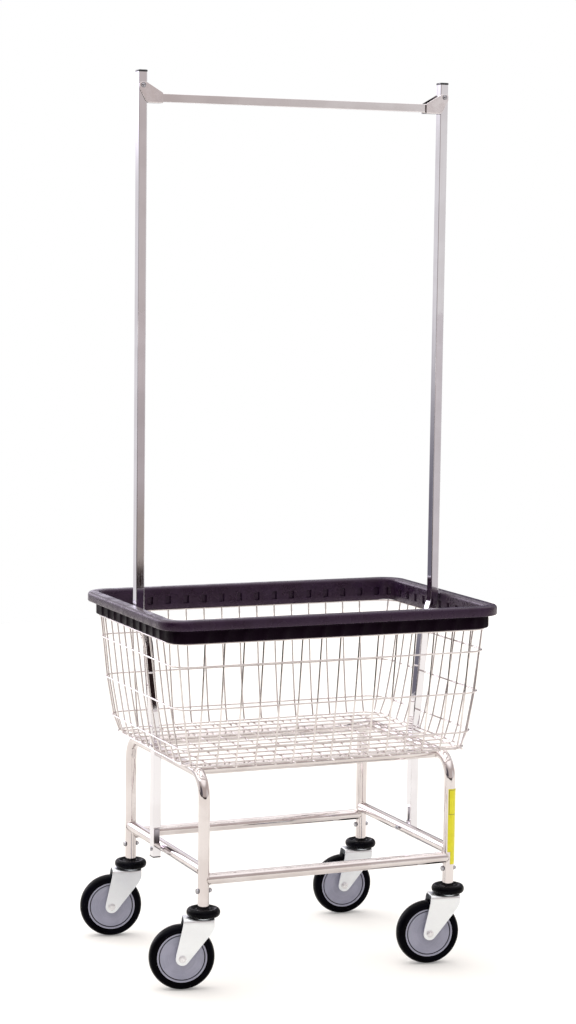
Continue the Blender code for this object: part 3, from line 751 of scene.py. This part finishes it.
def corner_wire(sx, sy):
    """Fanned upright in the middle of a rounded corner."""
    points = []
    for z, half_x, half_y in reversed(LEVELS):
        reach = (RING_CORNER - UPRIGHT_INSET) * math.sqrt(0.5)
        x, y = sx * (half_x - RING_CORNER + reach), sy * (half_y - RING_CORNER + reach)
        points.append((CENTRE_X + x, y, z + WIRE_R))
    points[0] = (*points[0][:2], WIRE_TOP)
    foot = Vector(points[-1])
    points.append(foot + Vector((-sx * 0.030, -sy * 0.022, FLOOR_LOW - foot.z)))
    return wire(points)


def basket():
    rings = joined([ring(level) for level in LEVELS])
    walls = joined([wall_wire(k, FRONT_SET, -1) for k in range(-7, 8)]
                   + [wall_wire(k, BACK_SET, 1) for k in range(-7, 7)])
    floor = joined([floor_wire(k) for k in range(-7, 8)])
    cross_set = joined([wires for k in range(-5, 6) for wires in cross_wires(k)])
    fans = joined([corner_wire(sx, sy) for _, sx, sy in CORNERS])
    piece("basket_rings", rings, WIRE_PLATE, "cart", "basket_wire", "basket_left", "basket_right")
    piece("basket_wall_wires", walls, WIRE_PLATE, "cart", "basket_wire", "basket_front", "basket_back")
    piece("basket_floor_wires", floor, WIRE_PLATE, "cart", "basket_wire", "basket_floor")
    piece("basket_cross_wires", cross_set, WIRE_PLATE, "cart", "basket_wire")
    piece("basket_corner_wires", fans, WIRE_PLATE, "cart", "basket_wire")


basket()


# ---- rim bumper

_low, _high = corners("rim_bumper")
RIM_X, RIM_Y = (_high.x - _low.x) / 2, (_high.y - _low.y) / 2
RIM_TOP = _high.z
RIM_CORNER = 0.0500
POCKET, RIB = 0.0045, 0.0013
# (inset from the outer face, height below the top, how far it gives way at a wire)
RIM_PROFILE = ((0.0004, 0.0182, 0), (0.0, 0.0170, 0), (0.0, 0.0064, 0), (0.0005, 0.0042, 0),
               (0.0016, 0.0022, 0), (0.0033, 0.0008, 0), (0.0055, 0.0001, 0), (0.0080, 0.0, 0),
               (0.0185, 0.0, 0), (0.0212, 0.0004, 0), (0.0236, 0.0018, 0), (0.0250, 0.0040, 0),
               (0.0255, 0.0065, 0), (0.0255, 0.0190, 0), (0.0255, 0.0200, POCKET), (0.0255, 0.0345, POCKET),
               (0.0255, 0.0354, 0), (0.0255, 0.0436, 0), (0.0248, 0.0451, 0), (0.0190, 0.0451, 0),
               (0.0180, 0.0441, 0), (0.0180, 0.0235, 0), (0.0165, 0.0218, 0), (0.0145, 0.0210, 0),
               (0.0100, 0.0203, 0), (0.0030, 0.0195, 0), (0.0012, 0.0190, 0))
SKIRT_PROFILE = ((0.0178, 0.0448, 0), (0.0172, 0.0440, 0), (0.0170, 0.0428, RIB), (0.0170, 0.0262, RIB),
                 (0.0170, 0.0236, 0), (0.0164, 0.0222, 0), (0.0190, 0.0222, 0), (0.0192, 0.0448, 0))


def rim_stations():
    """(x, y of the corner-circle centre line, outward direction, 1 at a wire) round the rim."""
    half_x, half_y = RIM_X - RIM_CORNER, RIM_Y - RIM_CORNER
    edge, blend = 0.0058, 0.0012
    stations = []
    walls = (((0, 1), half_x, half_y, BACK_SET[0], -1), ((-1, 0), half_y, half_x, LEFT_SET[0], -1),
             ((0, -1), half_x, half_y, FRONT_SET[0], 1), ((1, 0), half_y, half_x, RIGHT_SET[0], 1))
    for (nx, ny), run, out, (shift, pitch), way in walls:
        marks = []
        for k in range(-7, 8):
            c = k * pitch + shift
            if abs(c) + edge < run - 0.002:
                marks += [(c - edge, 0), (c - edge + blend, 1), (c + edge - blend, 1), (c + edge, 0)]
        marks = [(-run + 0.0005, 0)] + marks + [(run - 0.0005, 0)]
        for t, on in (marks if way > 0 else marks[::-1]):
            base = (t, ny * out) if ny else (nx * out, t)
            stations.append((base, (nx, ny), on))
        start = math.atan2(ny, nx)
        corner = (math.copysign(half_x, nx - ny), math.copysign(half_y, ny + nx))
        for k in range(1, 14):
            a = start + math.radians(90 * k / 14)
            stations.append((corner, (math.cos(a), math.sin(a)), 1 if k in (6, 7, 8) else 0))
    return stations


def around_rim(profile):
    loops = []
    for (bx, by), (nx, ny), on in rim_stations():
        reaches = [(RIM_CORNER - inset + on * give, drop) for inset, drop, give in profile]
        loops.append([(CENTRE_X + bx + nx * out, by + ny * out, RIM_TOP - drop) for out, drop in reaches])
    return skin(loops, closed=True)


def rim():
    piece("rim_moulding", around_rim(RIM_PROFILE), RIM_VINYL, "cart", "rim", "rim_bumper", sharp=50)
    piece("rim_skirt", around_rim(SKIRT_PROFILE), SHADED_SKIRT_VINYL, "cart", "rim", sharp=50)


rim()


# ---- label

LABEL_LOW, LABEL_TOP = corners("leg_label")[0].z, corners("leg_label")[1].z
LABEL_ARC = (-128.0, -12.0)         # degrees round the leg, above the front rail
NARROW_ARC = (-98.0, -12.0)         # the same beside the rail and below it
LABEL_THICK, INK_THICK = 0.0004, 0.00008


def strip(radius, thick, arc, z0, z1, steps=16):
    loops = []
    for k in range(steps + 1):
        a = math.radians(arc[0] + (arc[1] - arc[0]) * k / steps)
        loops.append([(LEG_X["right"] + r * math.cos(a), -LEG_Y + r * math.sin(a), z)
                      for r, z in ((radius, z0), (radius, z1), (radius + thick, z1), (radius + thick, z0))])
    return skin(loops)


def label():
    face = TUBE_R + 0.0003
    above_rail = LONG_RAIL_Z + TUBE_R + 0.0012
    shape = joined([strip(face, LABEL_THICK, LABEL_ARC, above_rail, LABEL_TOP),
                    strip(face, LABEL_THICK, NARROW_ARC, LABEL_LOW, above_rail)])
    piece("leg_label_strip", shape, LABEL_VINYL, "cart", "label", "leg_label")
    ink, low, high = face + LABEL_THICK, LABEL_LOW + 0.0015, LABEL_TOP - 0.0015
    first, last = LABEL_ARC[0] + 7, LABEL_ARC[1] - 7
    rule = LABEL_LOW + 0.66 * (LABEL_TOP - LABEL_LOW)
    lines = [strip(ink, INK_THICK, (first, first + 6), rule, high, 2),
             strip(ink, INK_THICK, (last - 6, last), low, high, 2)]
    lines += [strip(ink, INK_THICK, (first, last), z, z + 0.0010) for z in (rule, high - 0.0010)]
    piece("leg_label_lines", joined(lines), LABEL_INK, "cart", "label")


label()


# ---- casters

WHEEL_R = middle("front_left_tyre").z
FORK_INNER, FORK_OUTER = 0.0171, 0.0201
FORK_TOP = corners("front_left_fork")[1].z
FOLD_R = 0.0085
RIPPLE_RADII = (0.0175, 0.0255, 0.0335)
EYE_R = 0.0130              # round lower end of the fork, about the axle
EYE_RISE, EYE_DROP = 0.004, 0.0075      # the eye's arc ends so far above the axle behind, below it in front
STEM_BOLT_Z = middle("front_left_stem_bolt").z
PLATE_R, PLATE_LOW, PLATE_TOP = 0.0200, 0.14151, 0.1433     # round plate under the leg
PLUG_R, PLUG_TOP = 0.0091, 0.2040                           # plug that goes up the leg
PIN_R, PIN_NUT_Z = 0.0062, 0.1346


def caster_frame(place):
    """Swivel axis at the leg, X pointing away from the wheel."""
    side = "left" if "left" in place else "right"
    leg = Vector((LEG_X[side], -LEG_Y if "front" in place else LEG_Y, 0.0))
    hub = middle(place + "_wheel_hub")
    trail = Vector((leg.x - hub.x, leg.y - hub.y, 0.0))
    return leg, trail.length, math.atan2(trail.y, trail.x)


def fork(trail):
    """One pressed strip: down a leg, over the crown and down the other leg."""
    ex, ez = -trail, WHEEL_R
    left = bent([(ex - EYE_R, ez + EYE_RISE, 0), (-0.0404, FORK_TOP - 0.014, 0), (-0.0385, FORK_TOP, 0)],
                0.02, 8)
    right = bent([(ex + 0.0107, ez - EYE_DROP, 0), (0.0140, 0.1115, 0), (0.0200, 0.1230, 0),
                  (0.0200, FORK_TOP, 0)], 0.010, 8)

    def edge(line, z):
        for a, b in zip(line, line[1:]):
            if z <= b.y:
                return a.x + (b.x - a.x) * max(0.0, (z - a.y) / (b.y - a.y))
        return line[-1].x

    def reach(z):
        if z < ez + EYE_RISE:
            span = math.sqrt(max(EYE_R ** 2 - (z - ez) ** 2, 1e-8))
            return ex - span, (ex + span if z < ez - EYE_DROP else edge(right, z))
        return edge(left, z), edge(right, z)

    eye_angles = (4, 12, 22, 34, 46, 54.5, 65, 78, 90, 100, 107)
    heights = [ez - EYE_R * math.cos(math.radians(d)) for d in eye_angles]
    heights += [0.072 + 0.006 * k for k in range(9)] + [0.124, 0.128, FORK_TOP - FOLD_R]
    outer = [Vector((0, -FORK_OUTER, z)) for z in heights]
    for k in range(1, 8):
        a = math.radians(90 * k / 7)
        y, z = -FORK_OUTER + FOLD_R * (1 - math.cos(a)), FORK_TOP - FOLD_R + FOLD_R * math.sin(a)
        outer.append(Vector((0, y, z)))
    outer += [Vector((0, -v.y, v.z)) for v in reversed(outer)]
    thick = FORK_OUTER - FORK_INNER
    rows = []
    for k, v in enumerate(outer):
        ahead, behind = outer[min(k + 1, len(outer) - 1)], outer[max(k - 1, 0)]
        tangent = (ahead - behind).normalized()
        inner = v + Vector((0, tangent.z, -tangent.y)) * thick
        lo, hi = reach(v.z)
        across = (lo, (lo + hi) / 2, hi)
        rows.append([(x, v.y, v.z) for x in across] + [(x, inner.y, inner.z) for x in reversed(across)])
    return skin(rows)


def bumper_ring():
    """Doughnut with a dished top round the leg and a recess beneath for the plate."""
    seat, high = corners("front_left_bumper")[0].z, corners("front_left_bumper")[1].z - 0.0006
    low = seat - 0.0018
    middle_z, half, r = (low + high) / 2, (high - low) / 2, 0.0250
    profile = [(0.0114, seat + 0.0005), (0.0150, seat + 0.0003), (0.0242, seat + 0.0003),
               (0.0244, low + 0.0004)]
    for d in range(-90, 91, 12):
        a = math.radians(d)
        profile.append((r + 0.0075 * max(math.cos(a), 0.0) ** 0.9, middle_z + half * math.sin(a)))
    dish = ((0.0222, 0.0004), (0.0205, 0.0016), (0.0192, 0.0034), (0.0178, 0.0040), (0.0160, 0.0030),
            (0.0148, 0.0014), (0.0135, 0.0010), (0.0124, 0.0016), (0.0114, 0.0040))
    profile += [(radius, high - drop) for radius, drop in dish]
    return lathe(profile, 56)


def hub():
    face = [(0.0043, 0.0168), (0.0102, 0.0168), (0.0110, 0.0162), (0.0114, 0.0122), (0.0124, 0.0114),
            (0.0260, 0.0110), (0.0405, 0.0112), (0.0418, 0.0117), (0.0424, 0.0114), (0.0427, 0.0094),
            (0.0446, 0.0094), (0.0449, 0.0120), (0.0455, 0.0126), (0.0474, 0.0128), (0.0481, 0.0124)]
    return lathe(face + [(r, -h) for r, h in reversed(face)], 72)


def tyre():
    side = [(0.0484, 0.0126), (0.0492, 0.0136), (0.0515, 0.0150), (0.0540, 0.0155), (0.0565, 0.0150),
            (0.0592, 0.0132), (0.0612, 0.0104), (0.0625, 0.0072), (WHEEL_R - 0.0003, 0.0036)]
    return lathe(side + [(WHEEL_R, 0.0)] + [(r, -h) for r, h in reversed(side)], 96)


def ripples():
    """Shallow moulded rings on both faces of the hub disc."""
    rings = []
    for r in RIPPLE_RADII:
        for sign in (-1, 1):
            edge, crest = sign * 0.0107, sign * 0.0114
            rings.append(lathe([(r - 0.0007, edge), (r, crest), (r + 0.0007, edge)], 64))
    return joined(rings)


def groove():
    """Shade lying in the groove between the hub disc and its rim, on both faces."""
    return joined([lathe([(0.0427, sign * 0.0093), (0.0427, sign * 0.0101), (0.0447, sign * 0.0101),
                          (0.0447, sign * 0.0093)], 72) for sign in (-1, 1)])


def kingpin():
    """Round plate under the leg, the plug that goes up it, and the pin with its nut under the crown."""
    flange = lathe([(PLUG_R, PLATE_TOP), (PLATE_R - 0.0008, PLATE_TOP), (PLATE_R, PLATE_TOP - 0.0005),
                    (PLATE_R, PLATE_LOW), (PIN_R, PLATE_LOW), (PIN_R, 0.1345), (0.0040, 0.1340)],
                   40, closed=False)
    plug = lathe([(PLUG_R, PLATE_TOP), (PLUG_R, PLUG_TOP - 0.0020), (0.0078, PLUG_TOP)], 32, closed=False)
    nut = moved(hex_head(0.0185, 0.0033), lift(PIN_NUT_Z))
    return joined([flange, plug, nut])


def stem_bolt():
    """Bolt across the leg: washer and head on its left, nut and thread end on its right."""
    out = TUBE_R + GAP
    washer = lathe([(0.0031, 0.0), (0.0052, 0.0), (0.0052, 0.0007), (0.0031, 0.0007)], 20)
    shank = lathe([(0.0030, -2 * out), (0.0030, 0.0050), (0.0024, 0.0056)], 14, closed=False)
    ends = ((joined([hex_head(0.0086, 0.0034, 0.0007), washer]), -X),
            (joined([hex_head(0.0086, 0.0034), shank]), X))
    return joined([moved(end, along(way) @ lift(out)) for end, way in ends])


def axle():
    grip = FORK_OUTER + GAP
    reach = grip + 0.0058
    parts = [lathe([(0.0040, -reach), (0.0040, reach)], 24, closed=False)]
    washer = lathe([(0.0041, 0.0), (0.0074, 0.0), (0.0074, 0.0009), (0.0041, 0.0009)], 32)
    end = moved(joined([washer, hex_head(0.0112, 0.0040, 0.0009)]), lift(grip))
    return joined(parts + [end, moved(end, OVER)])


def caster(place):
    leg, trail, heading = caster_frame(place)
    upright = Matrix.Translation(leg)
    across = Matrix.Translation(leg + Vector((0, 0, STEM_BOLT_Z)))
    swivel = upright @ Matrix.Rotation(heading, 4, "Z")
    wheel = swivel @ Matrix.Translation((-trail, 0, WHEEL_R)) @ Matrix.Rotation(math.radians(90), 4, "X")
    turning, rolling = place + "_swivel", place + "_wheel"

    piece(place + "_ring", moved(bumper_ring(), upright), RING_RUBBER, "cart", "bumper_rubber",
          place + "_bumper", sharp=60)
    piece(place + "_kingpin", moved(kingpin(), upright), FORK_ZINC, "cart", "bright_zinc", place + "_stem")
    piece(place + "_cross_bolt", moved(stem_bolt(), across), BOLT_ZINC, "cart", "fastener",
          place + "_stem_bolt")
    piece(place + "_fork_pressing", moved(fork(trail), swivel), FORK_ZINC, turning, "bright_zinc",
          place + "_fork", bevel=0.0005, sharp=40)
    piece(place + "_axle", moved(axle(), wheel), AXLE_ZINC, turning, "fastener", place + "_axle_bolt",
          bevel=0.0002)
    piece(place + "_hub_disc", moved(hub(), wheel), HUB_PLASTIC, rolling, "hub_plastic",
          place + "_wheel_hub", sharp=30)
    piece(place + "_hub_ripples", moved(ripples(), wheel), HUB_PLASTIC, rolling, "hub_plastic")
    piece(place + "_hub_groove", moved(groove(), wheel), GROOVE_PAINTED_SHADE, rolling, "hub_plastic")
    piece(place + "_tyre_band", moved(tyre(), wheel), TYRE_RUBBER, rolling, "tyre", place + "_tyre",
          sharp=60)


for corner_name, _, _ in CORNERS:
    caster(corner_name)


# ---- studio

# (towards, dot product where it starts, where it is full, colour); the first is the colour everywhere else
SKY_LOBES = (
    (None, 0, 0, (0.56, 0.495, 0.48)),
    ((0.70, -0.71, 0.0), 0.905, 0.96, (0.77, 0.74, 0.73)),
    ((-0.94, -0.34, 0.02), 0.88, 0.95, (0.10, 0.09, 0.11)),
    ((0.10, 0.995, 0.0), 0.00, 0.50, (0.97, 0.95, 0.965)),
    ((-0.345, 0.939, 0.0), 0.970, 0.985, (0.78, 0.75, 0.765)),
    ((-0.56, 0.80, -0.22), 0.966, 0.982, (0.17, 0.16, 0.20)),
    ((-0.34, 0.905, 0.26), 0.972, 0.990, (3.6, 3.4, 3.9)),
    ((0.27, 0.95, 0.15), 0.985, 0.994, (1.3, 1.22, 1.42)),
    ((0.62, 0.77, 0.16), 0.948, 0.972, (0.10, 0.09, 0.13)),
    ((0.0, 0.0, 1.0), 0.50, 0.80, (1.35, 1.32, 1.32)),
)


def sky():
    """World seen in the plating: pale backdrop, open room and soft light; plain white to the camera."""
    world = bpy.data.worlds.new("studio")
    bpy.context.scene.world = world
    world.use_nodes = True
    nodes, links = world.node_tree.nodes, world.node_tree.links
    nodes.clear()
    direction = nodes.new("ShaderNodeTexCoord").outputs["Generated"]
    colour = None
    for towards, start, full, shade in SKY_LOBES:
        if colour is None:
            colour = nodes.new("ShaderNodeRGB").outputs["Color"]
            colour.default_value = (*shade, 1.0)
            continue
        dot = nodes.new("ShaderNodeVectorMath")
        dot.operation = "DOT_PRODUCT"
        dot.inputs[1].default_value = Vector(towards).normalized()
        links.new(direction, dot.inputs[0])
        ramp = nodes.new("ShaderNodeMapRange")
        ramp.interpolation_type = "SMOOTHSTEP"
        ramp.inputs["From Min"].default_value, ramp.inputs["From Max"].default_value = start, full
        links.new(dot.outputs["Value"], ramp.inputs["Value"])
        mix = nodes.new("ShaderNodeMix")
        mix.data_type = "RGBA"
        links.new(ramp.outputs["Result"], mix.inputs["Factor"])
        links.new(colour, mix.inputs["A"])
        mix.inputs["B"].default_value = (*shade, 1.0)
        colour = mix.outputs["Result"]
    studio, plain = nodes.new("ShaderNodeBackground"), nodes.new("ShaderNodeBackground")
    links.new(colour, studio.inputs["Color"])
    plain.inputs["Color"].default_value = (1.0, 1.0, 1.0, 1.0)
    seen = nodes.new("ShaderNodeLightPath")
    choose, out = nodes.new("ShaderNodeMixShader"), nodes.new("ShaderNodeOutputWorld")
    links.new(seen.outputs["Is Camera Ray"], choose.inputs["Fac"])
    links.new(studio.outputs["Background"], choose.inputs[1])
    links.new(plain.outputs["Background"], choose.inputs[2])
    links.new(choose.outputs["Shader"], out.inputs["Surface"])


def sheet(name, corner_points, z, finish):
    obj = mesh_object(name, [(x, y, z) for x, y in corner_points], [(0, 1, 2, 3)])
    obj.data.materials.append(finish)
    return obj


def paper_floor():
    """Pale paper, seen a little brighter than it lights the cart."""
    paper = Finish("pale_floor", (0.73, 0.72, 0.685), 0.9, Emission_Color=(1, 1, 1, 1))
    paper.tint(paper.noise(0.7, 3.0), (0.75, 0.735, 0.695), 0.5)
    paper.rough(paper.noise(3.0, 3.0), 0.85, 0.95)
    seen = paper.nodes.new("ShaderNodeLightPath").outputs["Is Camera Ray"]
    paper.links.new(paper.span(seen, 0.0, 1.0, 0.0, 0.21), paper.shader.inputs["Emission Strength"])
    return paper.material


def dark_floor():
    """Room floor in front of the paper, lighter the further it is."""
    dark = Finish("dark_studio_floor", (0.014, 0.008, 0.008), 0.9, Specular_IOR_Level=0.0)
    dark.tint(dark.depths(-5.45, -6.6), (0.25, 0.22, 0.20))
    dark.tint(dark.depths(-6.6, -10.5), (0.32, 0.29, 0.29))
    return dark.tint(dark.depths(-10.5, -30.0), (0.385, 0.35, 0.345)).material


def grey_floor():
    grey = Finish("grey_studio_floor", (0.44, 0.42, 0.425), 0.9, Specular_IOR_Level=0.0)
    return grey.tint(grey.noise(0.5, 3.0), (0.40, 0.38, 0.385), 0.6).material


# Corners of the room's floor round the paper, which only the plating sees
LEFT_OF_PAPER = ((-30, -2.6), (-30, -60), (25.8, -60), (1.2, -2.6))
RIGHT_OF_PAPER = ((1.2, -4.4), (25.8, -60), (60, -60), (30, -4.4))
BESIDE_PAPER = ((-30, 4.5), (-30, -2.6), (-4.0, -2.6), (-4.0, 4.5))
ROOM_FLOOR_Z = 0.01


def studio():
    bpy.context.scene.view_settings.view_transform = "Standard"
    sky()
    sheet("floor", ((-40, -40), (40, -40), (40, 4.5), (-40, 4.5)), 0.0, paper_floor())
    dark, grey = dark_floor(), grey_floor()
    for name, corner_points, finish in (("studio_left_of_the_paper", LEFT_OF_PAPER, dark),
                                        ("studio_right_of_the_paper", RIGHT_OF_PAPER, grey),
                                        ("studio_beside_the_paper", BESIDE_PAPER, dark)):
        room = sheet(name, corner_points, ROOM_FLOOR_Z, finish)
        room.visible_camera = room.visible_diffuse = room.visible_shadow = False
    sun = bpy.data.lights.new("softbox", "SUN")
    sun.energy, sun.angle, sun.color = 1.55, math.radians(75), (1.0, 0.985, 0.97)
    lamp = bpy.data.objects.new("softbox", sun)
    lamp.rotation_euler = (math.radians(-22), math.radians(-26), 0.0)
    bpy.context.scene.collection.objects.link(lamp)


CAMERA_PLACE = Vector((-1.9409, -4.5069, 1.3813))     # from the middle of the floor
CAMERA_TURN = (math.radians(83.296), math.radians(-0.706), math.radians(-23.093))
LENS_MM = 87.06


def camera():
    data = bpy.data.cameras.new("camera")
    data.lens, data.sensor_width, data.sensor_fit = LENS_MM, 36.0, "AUTO"
    data.shift_x, data.shift_y = 0.0047, 0.0414
    data.clip_end = 200.0
    obj = bpy.data.objects.new("camera", data)
    obj.location, obj.rotation_euler = CAMERA_PLACE, CAMERA_TURN
    bpy.context.scene.collection.objects.link(obj)
    bpy.context.scene.camera = obj


studio()
camera()
